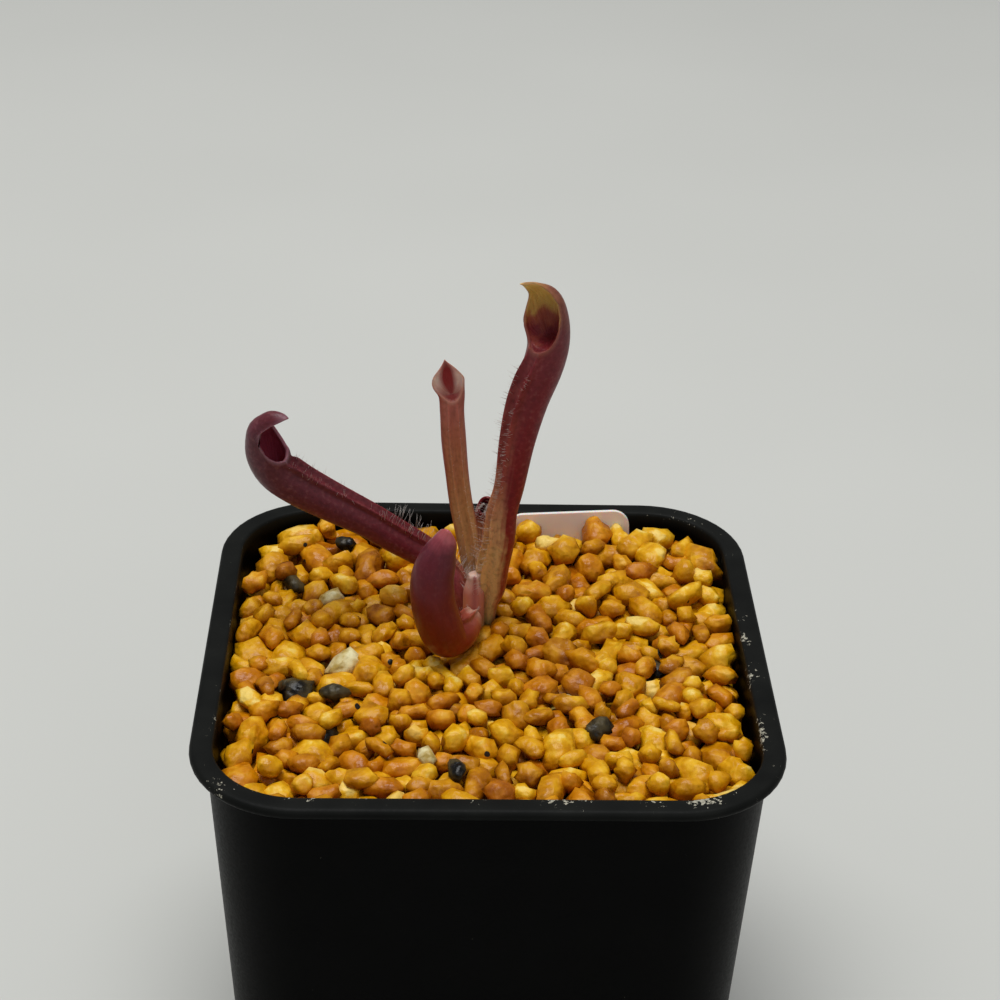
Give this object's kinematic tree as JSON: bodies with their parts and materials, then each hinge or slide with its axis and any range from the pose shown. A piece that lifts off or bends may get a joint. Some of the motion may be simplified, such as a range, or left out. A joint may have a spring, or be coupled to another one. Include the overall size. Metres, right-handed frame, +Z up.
{
  "type": "potted pitcher plant",
  "caption": "Young carnivorous pitcher plant with hollow, hooded tube leaves in a square black nursery pot of yellow pumice granules, with a bare plant label.",
  "frame": {"origin": "centre of the pot's foot, on the surface it stands on", "axes": "+Z up, the pot's sides along X and Y, -Y towards the picture's front"},
  "size_m": [0.075, 0.075, 0.1181],
  "materials": {
    "pot_plastic": "satin black polypropylene with white mineral specks on the rim",
    "crown": "fleshy pink-red growing point, tan below, with a few brown roots",
    "leaf_maroon": "waxy deep red-maroon leaf, olive inside the hood and tan at the base",
    "leaf_plum": "waxy dark plum leaf with a soft pale sheen",
    "leaf_tan": "waxy red-brown leaf with an olive-tan band and a translucent hood edge",
    "leaf_crimson": "dark crimson young leaf with white hairs",
    "label_plastic": "whitish matte plastic sheet, left bare",
    "pumice": "matte yellow-ochre to orange granules with dark specks"
  },
  "bodies": {
    "root": {"pot": "pot_plastic", "crown": "crown", "pitcher_right": "leaf_maroon", "pitcher_front": "leaf_plum", "pitcher_left": "leaf_plum", "pitcher_middle": "leaf_tan", "pitcher_young": "leaf_crimson", "plant_label": "label_plastic", "granule_bed": "pumice"}
  },
  "joints": []
}
